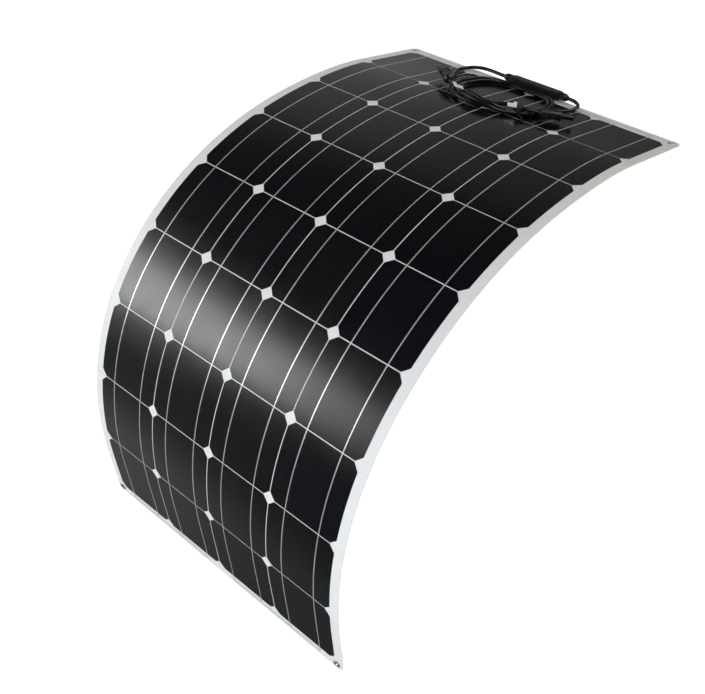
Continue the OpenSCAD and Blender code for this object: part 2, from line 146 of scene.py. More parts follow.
class Surface(NodeTree):
    """A principled material with the few procedural steps that the pieces share."""

    def __init__(self, name, colour, roughness=0.5, metallic=0.0, specular=0.5):
        self.material = bpy.data.materials.new(name)
        self.material.use_nodes = True
        super().__init__(self.material.node_tree)
        self.shader = self.tree.nodes["Principled BSDF"]
        self.set("Base Color", (*colour, 1))
        self.set("Roughness", roughness)
        self.set("Metallic", metallic)
        self.set("Specular IOR Level", specular)
        self.place = self.node("ShaderNodeTexCoord").outputs["Object"]

    def set(self, socket, value):
        self.shader.inputs[socket].default_value = value

    def drive(self, socket, source):
        self.link(source, self.shader.inputs[socket])

    def sheet_place(self):
        """Position along and across the flat sheet, in metres, instead of in space."""
        self.place = self.node("ShaderNodeUVMap", uv_map="UVMap").outputs["UV"]
        return self

    def noise(self, scale, detail=3.0, roughness=0.5):
        made = self.node("ShaderNodeTexNoise")
        made.inputs["Scale"].default_value = scale
        made.inputs["Detail"].default_value = detail
        made.inputs["Roughness"].default_value = roughness
        self.link(self.place, made.inputs["Vector"])
        return made.outputs["Fac"]

    def waves(self, period, direction):
        """A sine of that period in metres along X or Y, from 0 to 1."""
        made = self.node("ShaderNodeTexWave", bands_direction=direction)
        made.inputs["Scale"].default_value = math.pi / 10 / period
        made.inputs["Distortion"].default_value = 0.0
        self.link(self.place, made.inputs["Vector"])
        return made.outputs["Fac"]

    def ramp(self, source, low, high, from_low=0.0, from_high=1.0):
        made = self.node("ShaderNodeMapRange")
        made.inputs["From Min"].default_value = from_low
        made.inputs["From Max"].default_value = from_high
        made.inputs["To Min"].default_value = low
        made.inputs["To Max"].default_value = high
        self.link(source, made.inputs["Value"])
        return made.outputs["Result"]

    def colours(self, source, first, second):
        made = self.node("ShaderNodeMix", data_type="RGBA")
        self.link(source, made.inputs["Factor"])
        for socket, value in zip(("A", "B"), (first, second)):
            slot = [s for s in made.inputs if s.name == socket and s.type == "RGBA"][0]
            if isinstance(value, tuple):
                slot.default_value = (*value, 1)
            else:
                self.link(value, slot)
        return [s for s in made.outputs if s.type == "RGBA"][0]

    def bump(self, height, distance, strength=1.0):
        made = self.node("ShaderNodeBump")
        made.inputs["Distance"].default_value = distance
        made.inputs["Strength"].default_value = strength
        self.link(height, made.inputs["Height"])
        self.drive("Normal", made.outputs["Normal"])

    def worn(self, first, second, scale, rough_low, rough_high):
        """Colour and roughness that drift together, as on handled or aged parts."""
        drift = self.noise(scale, 4)
        self.drive("Base Color", self.colours(drift, first, second))
        self.drive("Roughness", self.ramp(drift, rough_low, rough_high, 0.3, 0.7))
        return drift


def backsheet_surface():
    """White laminate over a fine glass cloth, whose weave shows a little."""
    made = Surface("white_laminate", (0.8, 0.81, 0.81), 0.42).sheet_place()
    weave = made.math("MULTIPLY", made.waves(0.0042, "X"), made.waves(0.0030, "Y"))
    mottle = made.noise(9, 4)
    shade = made.colours(mottle, (0.76, 0.76, 0.75), (0.81, 0.815, 0.82))
    made.drive("Base Color", made.colours(made.ramp(weave, 0, 0.3), shade, (0.70, 0.71, 0.72)))
    made.drive("Roughness", made.ramp(made.noise(40, 2), 0.34, 0.52, 0.3, 0.7))
    made.bump(weave, 0.00003, 0.4)
    return made.material


def cell_surface():
    """Near-black anti-reflective silicon with fine grid fingers, each cell a little different."""
    made = Surface("silicon_cell", (0.005, 0.006, 0.009), 0.2).sheet_place()
    split = made.node("ShaderNodeSeparateXYZ")
    made.link(made.place, split.inputs[0])
    column = made.math("FLOOR", made.math("DIVIDE", split.outputs[0], PITCH * MM))
    row = made.math("FLOOR", made.math("DIVIDE", split.outputs[1], PITCH * MM))
    pair = made.node("ShaderNodeCombineXYZ")
    made.link(column, pair.inputs[0])
    made.link(row, pair.inputs[1])
    pick = made.node("ShaderNodeTexWhiteNoise")
    made.link(pair.outputs[0], pick.inputs["Vector"])
    tone = made.colours(pick.outputs["Value"], (0.0018, 0.0020, 0.0034), (0.0026, 0.0031, 0.0031))
    finger = made.math("POWER", made.waves(0.0018, "Y"), 12.0)
    lined = made.colours(made.math("MULTIPLY", finger, 0.15), tone, (0.04, 0.04, 0.045))
    made.drive("Base Color", lined)
    made.drive("Roughness", made.ramp(made.noise(24, 5), 0.15, 0.22, 0.3, 0.7))
    made.bump(made.noise(9, 1), 0.0003, 0.15)
    return made.material


def ribbon_surface(name, metallic, dark, light):
    """Tinned copper ribbon, soft silver with drawn streaks."""
    made = Surface(name, light, 0.35, metallic).sheet_place()
    streaks = made.noise(600, 2)
    made.drive("Base Color", made.colours(streaks, dark, light))
    made.drive("Roughness", made.ramp(streaks, 0.24, 0.38))
    made.bump(streaks, 0.00004, 0.5)
    return made.material


def film_surface():
    """The clear front film, a faint haze. The gloss of the sheet is on the cells below it."""
    made = Surface("clear_film", (0.02, 0.021, 0.023), 0.2, specular=0.0).sheet_place()
    made.drive("Roughness", made.ramp(made.noise(55, 3), 0.16, 0.24))
    made.bump(made.noise(140, 2), 0.00005, 0.4)
    made.set("Alpha", 0.03)
    return made.material


def plastic_surface(name, shade, grain=0.0009, roughness=0.45, bump=0.00005):
    """Moulded black plastic with a fine spark-eroded grain."""
    made = Surface(name, (shade, shade, shade), roughness, specular=0.25)
    darker, lighter = (shade * 0.8,) * 3, (shade * 1.25, shade * 1.25, shade * 1.3)
    made.worn(darker, lighter, 60, roughness - 0.07, roughness + 0.08)
    made.bump(made.noise(1 / grain, 3, 0.6), bump, 0.5)
    return made.material


def jacket_surface():
    """Cross-linked black cable jacket, satin, with faint drawing marks."""
    made = Surface("cable_jacket", (0.005, 0.005, 0.005), 0.22, specular=0.22)
    made.worn((0.0035, 0.0035, 0.0035), (0.006, 0.006, 0.0065), 35, 0.18, 0.28)
    made.bump(made.noise(900, 3), 0.00004, 0.5)
    return made.material


def metal_surface(name, first, second, roughness=0.3, scale=400):
    """Plated metal with small spots of tarnish."""
    made = Surface(name, first, roughness, 1.0)
    made.worn(first, second, scale, roughness - 0.08, roughness + 0.15)
    made.bump(made.noise(scale * 3, 2), 0.00003, 0.4)
    return made.material


def foam_surface():
    """Closed-cell foam tape."""
    made = Surface("foam_tape", (0.03, 0.03, 0.03), 0.9)
    pores = made.node("ShaderNodeTexVoronoi")
    pores.inputs["Scale"].default_value = 1800
    made.link(made.place, pores.inputs["Vector"])
    made.drive("Base Color", made.colours(pores.outputs["Distance"], (0.012,) * 3, (0.06,) * 3))
    made.bump(pores.outputs["Distance"], 0.0002, 0.7)
    return made.material


def rubber_surface(name, colour):
    made = Surface(name, colour, 0.7)
    lighter = tuple(c * 1.5 for c in colour)
    made.worn(colour, lighter, 150, 0.6, 0.8)
    made.bump(made.noise(1200, 2), 0.00005, 0.5)
    return made.material


def paper_surface():
    """White synthetic paper of the tags."""
    made = Surface("tag_paper", (0.85, 0.85, 0.84), 0.55)
    fibres = made.noise(900, 5, 0.7)
    made.drive("Base Color", made.colours(fibres, (0.93, 0.92, 0.9), (0.99, 0.98, 0.96)))
    made.bump(fibres, 0.00005, 0.6)
    return made.material


def floor_surface():
    """Plain white studio floor with a faint mottle, lit from within so that it stays white."""
    made = Surface("studio_floor", (0.9, 0.9, 0.9), 0.9)
    made.drive("Base Color", made.colours(made.noise(3, 2), (0.88, 0.88, 0.88), (0.92, 0.92, 0.92)))
    made.set("Emission Color", (0.93, 0.97, 1.0, 1))
    made.set("Emission Strength", 0.68)
    return made.material


# --- Cords --------------------------------------------------------------------
# A lead's stations: its run from the box as points, its turns in the coil as an angle, a
# radius and a height, and its end as points, up to the rear of its plug and its heading.
COIL_CENTRE = (-12, -66)
LOW = 6.5
CABLE_D = 6
# How far a lead runs on into its plug.
LEAD_IN = 14
BOX_X = -3
# A lead is free from the point nearest to this distance from the middle of the box on,
# just past its gland seal and still inside the nose of the nut.
GLAND_EXIT = 59.5
POSITIVE_LEAD = [
    (-36.4, 9, 9.7), (-52, 9, 9.7), (-66, 9, 9.7), (-84, 10, 9.7), (-101, 12, 9.4), (-116, 11, 8.8),
    (-128, 4, 8), (-135, -8, 7), (-138, -23, LOW), (-133, -42, LOW), (-123, -63, LOW), (-109, -86, LOW),
]
POSITIVE_TURNS = [
    (213, 93, LOW), (232, 93, LOW), (250, 92, LOW), (268, 88, LOW), (286, 83, LOW), (304, 79, LOW),
    (322, 76, LOW), (342, 73, LOW), (2, 72, LOW), (24, 70, LOW), (46, 64, LOW), (68, 53, LOW),
    (92, 49, LOW), (116, 56, LOW), (140, 67, LOW), (164, 70, LOW), (188, 71, LOW), (210, 73, LOW),
    (230, 74, LOW), (250, 73, LOW), (268, 72, LOW), (284, 71, 8.5),
]
POSITIVE_END = [(22, -128, 12), (37, -123.5, 13.4), (51, -120, 13.4), (65, -115.5, 13)]
SOCKET_REAR, SOCKET_HEADING = (78, -109, 12.8), 32
NEGATIVE_LEAD = [
    (30.4, 9, 9.7), (46, 9, 9.7), (62, 9, 9.7), (75, 6.5, 9.7), (86, -2, 9.4), (92, -13, 8.5),
    (93, -28, 7), (89, -46, LOW), (82, -62, LOW),
]
NEGATIVE_TURNS = [
    (352, 90, LOW), (335, 92, LOW), (318, 93, LOW), (300, 93, 7), (286, 92, 10.8), (272, 91, 13.1),
    (258, 89, 13.1), (244, 86, 11), (230, 84, 7.6), (212, 85, LOW), (192, 84, LOW), (168, 84, LOW),
    (146, 80, LOW), (122, 67, LOW), (98, 58, LOW), (74, 60, LOW), (50, 72, LOW), (28, 77, LOW),
    (4, 79, LOW), (344, 81, LOW), (328, 85, LOW), (314, 86, LOW), (301, 86, 8.8), (289, 85, 12.8),
    (276, 82, 14.4), (262, 80, 15.8), (249, 82, 17.2),
]
NEGATIVE_END = [(-60, -141, 18), (-75, -136.5, 18)]
PIN_REAR, PIN_HEADING = (-86, -128.5, 18), 137
POINTS_PER_SPAN = 6


def turn_point(station):
    angle = math.radians(station[0])
    return (
        COIL_CENTRE[0] + station[1] * math.cos(angle),
        COIL_CENTRE[1] + station[1] * math.sin(angle),
        station[2],
    )


def ahead(rear, heading, distance):
    angle = math.radians(heading)
    return (rear[0] + distance * math.cos(angle), rear[1] + distance * math.sin(angle), rear[2])


def smooth_route(lead, turns, end, rear, heading):
    """The lead's centreline in metres, a smooth curve through its stations."""
    stations = [*lead, *map(turn_point, turns), *end, rear, ahead(rear, heading, LEAD_IN)]
    points = np.array(stations) * MM
    padded = np.vstack([2 * points[0] - points[1], points, 2 * points[-1] - points[-2]])
    line = []
    for before, start, stop, after in zip(padded, padded[1:], padded[2:], padded[3:]):
        for t in np.arange(POINTS_PER_SPAN) / POINTS_PER_SPAN:
            line.append(
                0.5 * (
                    2 * start + (stop - before) * t
                    + (2 * before - 5 * start + 4 * stop - after) * t**2
                    + (3 * start - before - 3 * stop + after) * t**3
                )
            )
    line.append(points[-1])
    return np.array(line)


def tube(name, line, radius, material):
    curve = bpy.data.curves.new(name, "CURVE")
    curve.dimensions = "3D"
    curve.bevel_depth = radius
    curve.bevel_resolution = 6
    curve.use_fill_caps = True
    spline = curve.splines.new("POLY")
    spline.points.add(len(line) - 1)
    for point, place in zip(spline.points, line):
        point.co = (*place, 1)
    spline.use_smooth = True
    curve.materials.append(material)
    made = bpy.data.objects.new(name, curve)
    bpy.context.scene.collection.objects.link(made)
    return made


def make_lead(name, node, line, side, jacket):
    """The free cord from its gland on, and the short rest of it inside the box."""
    exit_x = (BOX_X + side * GLAND_EXIT) * MM
    # The gland stands in one of the lead's first two spans.
    near_box = line[: 2 * POINTS_PER_SPAN + 1, 0]
    leaves_at = int(np.argmin(np.abs(near_box - exit_x)))
    inner = tube(f"{name}_in_box", line[: leaves_at + 1], CABLE_D / 2 * MM, jacket)
    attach(inner, "row_1")
    free = line[leaves_at:]
    cable = tube(name, free, CABLE_D / 2 * MM, jacket)
    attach(cable, "row_1")
    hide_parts(node)


# --- Bent sheet ---------------------------------------------------------------
def bend_slopes():
    """Slopes of the sheet against each row's chord, at the row's top and bottom.
    Neighbouring rows share their tangent, and their curvature below the first gap."""
    equations, values = [], []

    def state(terms, value):
        line = np.zeros(2 * ROWS)
        for index, factor in terms.items():
            line[index] = factor
        equations.append(line)
        values.append(value)

    state({0: 1}, 0)
    state({ROWS: 1}, 0)
    state({2 * ROWS - 1: 1}, 0)
    for gap, bend in enumerate(ROW_BENDS):
        state({gap + 1: 1, ROWS + gap: -1}, math.radians(bend))
        if gap > 0:
            state({gap: 2, ROWS + gap: 4, gap + 1: 4, ROWS + gap + 1: 2}, 0)
    solved = np.linalg.solve(np.array(equations), np.array(values))
    return solved[:ROWS], solved[ROWS:]


class Row:
    """One row of the sheet: its chord, its bulge above the chord, and its body."""

    def __init__(self, number, start, bend, slope_top, slope_bottom):
        angle = math.radians(bend)
        self.number = number
        self.body = f"row_{number}"
        self.start = start
        self.down = np.array([0, -math.cos(angle), -math.sin(angle)])
        self.front = np.array([0, -math.sin(angle), math.cos(angle)])
        self.slopes = slope_top, slope_bottom

    def end(self):
        return self.start + PITCH * self.down

    def point(self, x, s, height):
        """Where a point x across, s down from the row's upper gap and that high lies, in metres."""
        top, bottom = self.slopes
        u = min(max(s / PITCH, 0), 1)
        bulge = PITCH * (top * (u - 2 * u**2 + u**3) + bottom * (u**3 - u**2))
        slope = top * (1 - 4 * u + 3 * u**2) + bottom * (3 * u**2 - 2 * u)
        normal = (self.front - slope * self.down) / math.hypot(1, slope)
        place = self.start + s * self.down + bulge * self.front + height * normal
        return Vector((x, place[1], place[2])) * MM

    def sheet_span(self):
        top = GAP / 2 - TOP_MARGIN if self.number == 1 else 0
        bottom = PITCH + (BOTTOM_MARGIN - GAP / 2 if self.number == ROWS else 0)
        return top, bottom


def make_rows():
    tops, bottoms = bend_slopes()
    rows, start, bend = [], np.array([0, FIRST_GAP_Y, SHEET_T / 2]), 0
    for k in range(ROWS):
        rows.append(Row(k + 1, start, bend, tops[k], bottoms[k]))
        start = rows[-1].end()
        bend += ROW_BENDS[k] if k < ROWS - 1 else 0
    return rows


def arc(centre, radius, start, stop, steps=12):
    angles = np.radians(np.linspace(start, stop, steps + 1))
    return [(centre[0] + radius * math.cos(a), centre[1] + radius * math.sin(a)) for a in angles]


def rectangle(x_from, x_to, s_from, s_to):
    return [(x_from, s_from), (x_to, s_from), (x_to, s_to), (x_from, s_to)]


def cell_x(column):
    return (column - (COLUMNS - 1) / 2) * PITCH


def cell_outline(column):
    half, cut = CELL / 2, CELL / 2 - CHAMFER
    corners = [(cut, half), (half, cut), (half, -cut), (cut, -half)]
    corners += [(-x, -s) for x, s in corners]
    return [(cell_x(column) + x, PITCH / 2 + s) for x, s in corners]


def sheet_outlines(row):
    """The outline of a row's strip. The end strips have two round corners and two eyelet holes."""
    top, bottom = row.sheet_span()
    half = SHEET_W / 2
    if row.number not in (1, ROWS):
        return [rectangle(-half, half, top, bottom)]
    sign = 1 if row.number == 1 else -1
    edge, inner = (top, bottom) if row.number == 1 else (bottom, top)
    eyelet = edge + sign * EYELET_INSET
    x = half - EYELET_INSET
    centre = (half - CORNER_R, edge + sign * CORNER_R)
    side = [(half, inner), *arc(centre, CORNER_R, 0, -90 * sign), (x, edge)]
    side += arc((x, eyelet), EYELET_CUT_R, -90 * sign, 90 * sign) + [(x, inner)]
    middle = [(-x, inner), (-x, eyelet + sign * EYELET_CUT_R)]
    middle += arc((-x, eyelet), EYELET_CUT_R, 90 * sign, -90 * sign)[1:]
    middle += [(-x, edge), (x, edge), (x, eyelet - sign * EYELET_CUT_R)]
    middle += arc((x, eyelet), EYELET_CUT_R, -90 * sign, -270 * sign)[1:] + [(x, inner)]
    return [side, [(-a, b) for a, b in side], middle]


def ribbon_outlines(row):
    """A row's tab ribbons, and the bus ribbons of the end rows."""
    outlines = []
    bottom_bus = PITCH + BOTTOM_BUS_Y
    top, bottom = 0, PITCH
    if row.number == ROWS:
        bottom = bottom_bus
    for column in range(COLUMNS):
        if row.number == 1:
            top = -BOX_BUS_Y if column in (0, COLUMNS - 1) else -INNER_BUS_Y
        for side in (-1, 1):
            x = cell_x(column) + side * RIBBON_OFFSET
            outlines.append(rectangle(x - RIBBON_W / 2, x + RIBBON_W / 2, top, bottom))
    outer = cell_x(COLUMNS - 1) + RIBBON_OFFSET + RIBBON_W
    middle = cell_x(COLUMNS - 1) - RIBBON_OFFSET - RIBBON_W
    if row.number == 1:
        inner = middle - INNER_BUS_STOP
        buses = [
            (-outer, -BUS_STOP, -BOX_BUS_Y), (BUS_STOP, outer, -BOX_BUS_Y),
            (-inner, inner, -INNER_BUS_Y),
        ]
    elif row.number == ROWS:
        inner = cell_x(COLUMNS / 2) - RIBBON_OFFSET - RIBBON_W
        buses = [(-outer, -inner, bottom_bus), (inner, outer, bottom_bus)]
    else:
        buses = []
    return outlines, [rectangle(a, b, s - BUS_W / 2, s + BUS_W / 2) for a, b, s in buses]


def slab(name, row, outlines, low, high, material, node=None):
    """Outlines on the flat row, raised to a slab between two heights and laid on the bent sheet."""
    bm = bmesh.new()
    for outline in outlines:
        bm.faces.new([bm.verts.new((x, s, 0)) for x, s in outline])
    bmesh.ops.triangulate(bm, faces=bm.faces[:])
    bmesh.ops.remove_doubles(bm, verts=bm.verts[:], dist=1e-4)
    for line in range(1, BANDS):
        everything = bm.verts[:] + bm.edges[:] + bm.faces[:]
        plane = (0, PITCH * line / BANDS, 0)
        bmesh.ops.bisect_plane(bm, geom=everything, dist=1e-4, plane_co=plane, plane_no=(0, 1, 0))
    for vert in bm.verts:
        vert.co.z = low
    bmesh.ops.recalc_face_normals(bm, faces=bm.faces[:])
    raised = bmesh.ops.extrude_face_region(bm, geom=bm.faces[:])["geom"]
    for vert in (v for v in raised if isinstance(v, bmesh.types.BMVert)):
        vert.co.z = high
    bmesh.ops.recalc_face_normals(bm, faces=bm.faces[:])
    layer = bm.loops.layers.uv.new("UVMap")
    offset = (row.number - 1) * PITCH
    for face in bm.faces:
        for loop in face.loops:
            loop[layer].uv = (loop.vert.co.x * MM, (loop.vert.co.y + offset) * MM)
    shade_smooth(bm, 0.6)
    for vert in bm.verts:
        vert.co = row.point(*vert.co)
    made = finish_mesh(name, bm, material)
    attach(made, row.body)
    if node:
        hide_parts(node)
    if row.number > 1:
        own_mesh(made)
    return made


def make_sheet(rows, looks):
    for row in rows:
        k = row.number
        half_t = SHEET_T / 2
        outlines = sheet_outlines(row)
        slab(f"laminate_{k}", row, outlines, -half_t, CELL_LOW, looks["backsheet"],
             f"backsheet_row_{k}")
        slab(f"silicon_{k}", row, [cell_outline(c) for c in range(COLUMNS)], CELL_LOW, CELL_HIGH,
             looks["cell"], f"cells_row_{k}")
        tabs, buses = ribbon_outlines(row)
        slab(f"tabs_{k}", row, tabs, CELL_HIGH, RIBBON_HIGH, looks["ribbon"],
             f"ribbons_row_{k}")
        if buses:
            slab(f"buses_{k}", row, buses, CELL_LOW, BUS_HIGH, looks["bus"],
                 f"ribbons_row_{k}")
        slab(f"film_{k}", row, outlines, FILM_LOW, half_t, looks["film"],
             f"front_film_row_{k}")


# --- Eyelets ------------------------------------------------------------------
EYELET_PROFILE = [
    (4.0, 0), (4.0, 1.15), (4.12, 1.5), (4.4, 1.75), (4.8, 1.85), (5.2, 1.83), (5.8, 1.7), (6.2, 1.52),
    (6.42, 1.38), (6.5, 1.27), (6.4, 1.25), (4.9, 1.25), (4.75, 1.2), (4.75, 0),
]


def lathe(name, profile, steps, place, material):
    """A closed profile of radius and height, turned about its axis; place maps it into the frame."""
    bm = bmesh.new()
    rings = []
    for k in range(steps):
        angle = 2 * math.pi * k / steps
        ring = [bm.verts.new(place(r * math.cos(angle), r * math.sin(angle), z)) for r, z in profile]
        rings.append(ring)
    count = len(profile)
    for k in range(steps):
        here, after = rings[k], rings[(k + 1) % steps]
        for i in range(count):
            j = (i + 1) % count
            bm.faces.new((here[i], after[i], after[j], here[j]))
    bmesh.ops.recalc_face_normals(bm, faces=bm.faces[:])
    shade_smooth(bm)
    return finish_mesh(name, bm, material)


def shade_smooth(bm, sharp=0.7):
    """Smooth shading, except over edges that turn by more than that angle in radians."""
    for face in bm.faces:
        face.smooth = True
    for edge in bm.edges:
        edge.smooth = edge.calc_face_angle(0) < sharp


def finish_mesh(name, bm, material):
    mesh = bpy.data.meshes.new(name)
    bm.to_mesh(mesh)
    bm.free()
    mesh.materials.append(material)
    made = bpy.data.objects.new(name, mesh)
    bpy.context.scene.collection.objects.link(made)
    return made


def make_eyelets(rows, material):
    mirrored = [(r, -z) for r, z in reversed(EYELET_PROFILE) if z > 0]
    profile = EYELET_PROFILE + mirrored
    for row, node in ((rows[0], "eyelets_top"), (rows[-1], "eyelets_bottom")):
        top, bottom = row.sheet_span()
        s = top + EYELET_INSET if row.number == 1 else bottom - EYELET_INSET
        for side, name in ((-1, "left"), (1, "right")):
            x = side * (SHEET_W / 2 - EYELET_INSET)
            made = lathe(
                f"{node}_{name}", profile, 48,
                lambda a, b, z, row=row, x=x, s=s: row.point(x + a, s + b, z), material,
            )
            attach(made, row.body)
            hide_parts(node)


# --- Small parts on the coil --------------------------------------------------
TIE_ANGLE = 317
TIE_INNER, TIE_OUTER = 72.8, 97.4
TIE_LOW, TIE_HIGH = 3.4, 17.4
TIE_BAND = 0.8
TIE_WIDTH = 4
TIE_CORNER_R = 2.5
TIE_HEAD, TIE_HEAD_AT = (4.5, 6, 5), (2.9, 0, 7.4)
# The tail behind the head: where it starts and ends, its width, its height at the
# head, how far it drops, and the teeth that its thickness shows.
TIE_TAIL = (5, 26)
TIE_TAIL_WIDTH = 3
TIE_TAIL_HEIGHT, TIE_TAIL_DROP = 7.1, 3.0
TIE_TEETH = 14
TIE_TOOTH_T, TIE_GROOVE_T = 1.15, 0.9


def rounded_loop(half_x, half_z, radius, steps=6):
    loop = []
    for quarter, (sx, sz) in enumerate(((1, 1), (-1, 1), (-1, -1), (1, -1))):
        centre = (sx * (half_x - radius), sz * (half_z - radius))
        loop += arc(centre, radius, 90 * quarter, 90 * quarter + 90, steps)
    return loop


def tie_place(radial, along, z):
    angle = math.radians(TIE_ANGLE)
    x = COIL_CENTRE[0] + radial * math.cos(angle) - along * math.sin(angle)
    y = COIL_CENTRE[1] + radial * math.sin(angle) + along * math.cos(angle)
    return Vector((x, y, z)) * MM


def add_block(bm, place, size, at):
    """A box of that size round a point, drawn through place."""
    corners = []
    for a in (-0.5, 0.5):
        for b, c in ((-0.5, -0.5), (0.5, -0.5), (0.5, 0.5), (-0.5, 0.5)):
            point = (at[0] + a * size[0], at[1] + b * size[1], at[2] + c * size[2])
            corners.append(bm.verts.new(place(*point)))
    for k in range(4):
        bm.faces.new((corners[k], corners[(k + 1) % 4], corners[4 + (k + 1) % 4], corners[4 + k]))
    bm.faces.new(corners[:4])
    bm.faces.new(corners[4:])


def make_tie(material):
    middle = ((TIE_INNER + TIE_OUTER) / 2, (TIE_LOW + TIE_HIGH) / 2)
    half = ((TIE_OUTER - TIE_INNER) / 2, (TIE_HIGH - TIE_LOW) / 2)
    bm = bmesh.new()
    rings = []
    for grow, along in ((0, -0.5), (TIE_BAND, -0.5), (TIE_BAND, 0.5), (0, 0.5)):
        loop = rounded_loop(half[0] + grow, half[1] + grow, TIE_CORNER_R + grow)
        rings.append([
            bm.verts.new(tie_place(middle[0] + a, along * TIE_WIDTH, middle[1] + b)) for a, b in loop
        ])
    count = len(rings[0])
    for k in range(4):
        here, after = rings[k], rings[(k + 1) % 4]
        for i in range(count):
            j = (i + 1) % count
            bm.faces.new((here[i], here[j], after[j], after[i]))
    add_block(bm, tie_place, TIE_HEAD, (TIE_OUTER + TIE_HEAD_AT[0], *TIE_HEAD_AT[1:]))
    tail_from, tail_to = TIE_TAIL
    tooth_l = (tail_to - tail_from) / TIE_TEETH
    for k in range(TIE_TEETH):
        at = TIE_OUTER + tail_from + (k + 0.5) * tooth_l
        height = TIE_TAIL_HEIGHT - TIE_TAIL_DROP * (k / TIE_TEETH) ** 1.2
        thick = TIE_GROOVE_T if k % 2 else TIE_TOOTH_T
        add_block(bm, tie_place, (tooth_l * 1.02, TIE_TAIL_WIDTH, thick), (at, 0, height))
    bmesh.ops.recalc_face_normals(bm, faces=bm.faces[:])
    made = finish_mesh("tie", bm, material)
    bevel = made.modifiers.new("edges", "BEVEL")
    bevel.width = 0.15 * MM
    bevel.segments = 2
    bevel.limit_method = "ANGLE"
    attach(made, "row_1")
    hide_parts("cable_tie")


TAG_HEIGHT, TAG_T = 7, 0.35
# How far the flag stands out, and from which share of the width, and how steeply, it rises.
TAG_FLAG, TAG_FLAG_FROM, TAG_FLAG_RISE = 3.5, 0.58, 14
TAG_CURL, TAG_WAVE, TAG_OFFSET = 0.9, 0.5, 0.25


def make_tag(name, place, heading, lean, width, material):
    """A slip of stiff paper standing on a strand, a little curled, with a small flag on top."""
    turn = Matrix.Rotation(math.radians(heading), 4, "Z") @ Matrix.Rotation(math.radians(lean), 4, "X")
    bm = bmesh.new()
    columns, levels = 16, 6

    def at(u, v, side):
        x = width * (u - 0.5)
        flag = TAG_FLAG * max(0.0, min(1.0, (u - TAG_FLAG_FROM) * TAG_FLAG_RISE)) * v
        z = TAG_HEIGHT * v + flag
        curl = TAG_CURL * (v - 0.5) ** 2
        y = TAG_OFFSET + side * TAG_T / 2 + curl - TAG_WAVE * math.cos(3 * u)
        return (Vector(place) + turn @ Vector((x, y, z))) * MM

    sides = []
    for side in (-1, 1):
        grid = [[bm.verts.new(at(i / columns, j / levels, side)) for j in range(levels + 1)]
                for i in range(columns + 1)]
        sides.append(grid)
        for i in range(columns):
            for j in range(levels):
                bm.faces.new((grid[i][j], grid[i + 1][j], grid[i + 1][j + 1], grid[i][j + 1]))
    near, far = sides
    rim = [(i, 0) for i in range(columns)] + [(columns, j) for j in range(levels)]
    rim += [(i, levels) for i in range(columns, 0, -1)] + [(0, j) for j in range(levels, 0, -1)]
    for (i, j), (k, m) in zip(rim, rim[1:] + rim[:1]):
        bm.faces.new((near[i][j], near[k][m], far[k][m], far[i][j]))
    bmesh.ops.recalc_face_normals(bm, faces=bm.faces[:])
    shade_smooth(bm)
    made = finish_mesh(name, bm, material)
    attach(made, "row_1")
    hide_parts("cable_tags")


# --- Parts whose CAD shape stays ----------------------------------------------
def dress(node, material, bevel=0.0):
    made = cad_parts[node]
    made.data.materials.clear()
    made.data.materials.append(material)
    if bevel:
        edges = made.modifiers.new("edges", "BEVEL")
        edges.width = bevel * MM
        edges.segments = 2
        edges.limit_method = "ANGLE"
        edges.angle_limit = math.radians(40)
        edges.harden_normals = True


def dress_parts(looks):
    for node in ("junction_box_base", "junction_box_lid"):
        dress(node, looks["box"], 0.35)
    for node in ("gland_nut_left", "gland_nut_right", "pin_connector_nut", "socket_connector_nut"):
        dress(node, looks["nut"], 0.15)
    for node in ("pin_connector_body", "socket_connector_body", "latch_arm_left", "latch_arm_right"):
        dress(node, looks["connector"], 0.15)
    dress("adhesive_pad", looks["foam"])
    dress("terminal_plates", looks["brass"], 0.08)
    dress("bypass_diodes", looks["diode"], 0.1)
    dress("lid_gasket", looks["gasket"])
    dress("gland_seals", looks["gasket"])
    dress("connector_o_ring", looks["o_ring"])
    dress("pin_contact", looks["contact"])
    dress("socket_contact", looks["contact"])


# --- Light and floor ----------------------------------------------------------
FLOOR_DROP = 0.001
FLOOR_R = 40
SKY = (0.47, 0.43, 0.375)
SEEN = (1, 1, 1)
MIRRORED = (0.8, 0.8, 0.8)


def make_floor(material):
    """A round floor just under the lowest point, so wide that it fills the view."""
    bm = bmesh.new()
    low = cad_low.z - FLOOR_DROP
    ring = [bm.verts.new((x, y, low)) for x, y in arc((0, 0), FLOOR_R, 0, 360, 64)[:-1]]
    bm.faces.new(ring)
    floor = finish_mesh("floor", bm, material)
    floor.visible_glossy = False


# What gloss mirrors is a product of curves over the parts of a direction. Their points
# run from 0 to 1 both ways. First the surround, over X, over the tilted height and over Y.
SURROUND_ACROSS = [(0, 0.5), (0.175, 0.45), (0.25, 0.22), (0.3, 0.16), (0.5, 0.1), (1, 0.25)]
SURROUND_ABOVE = [(0, 0.9), (0.5, 0.9), (0.6, 0.85), (0.75, 0.75), (0.85, 0.2), (0.9, 0.12), (1, 0.1)]
SURROUND_ALONG = [
    (0, 0.36), (0.1, 0.36), (0.2, 0.43), (0.275, 0.71), (0.36, 0.89),
    (0.45, 0.54), (0.6, 0.79), (0.75, 0.93), (0.9, 1), (1, 1),
]
SURROUND_TILT = 0.35
# The large softbox on the left, whose mirror image is the bright band across the sixth row.
SOFTBOX_HEIGHT = [
    (0, 0), (0.1, 0.02), (0.25, 0.1), (0.37, 0.2), (0.4, 0.75), (0.43, 0.98),
    (0.548, 1), (0.66, 0.78), (0.78, 0.27), (0.85, 0.08), (1, 0),
]
SOFTBOX_ACROSS = [(0, 1), (0.5, 1), (0.58, 0.86), (0.66, 0.55), (0.74, 0.3), (0.84, 0.1), (1, 0)]
SOFTBOX_FRONT = [(0, 1), (0.5, 1), (0.85, 0.2), (1, 0)]
SOFTBOX_SLANT = 0.3
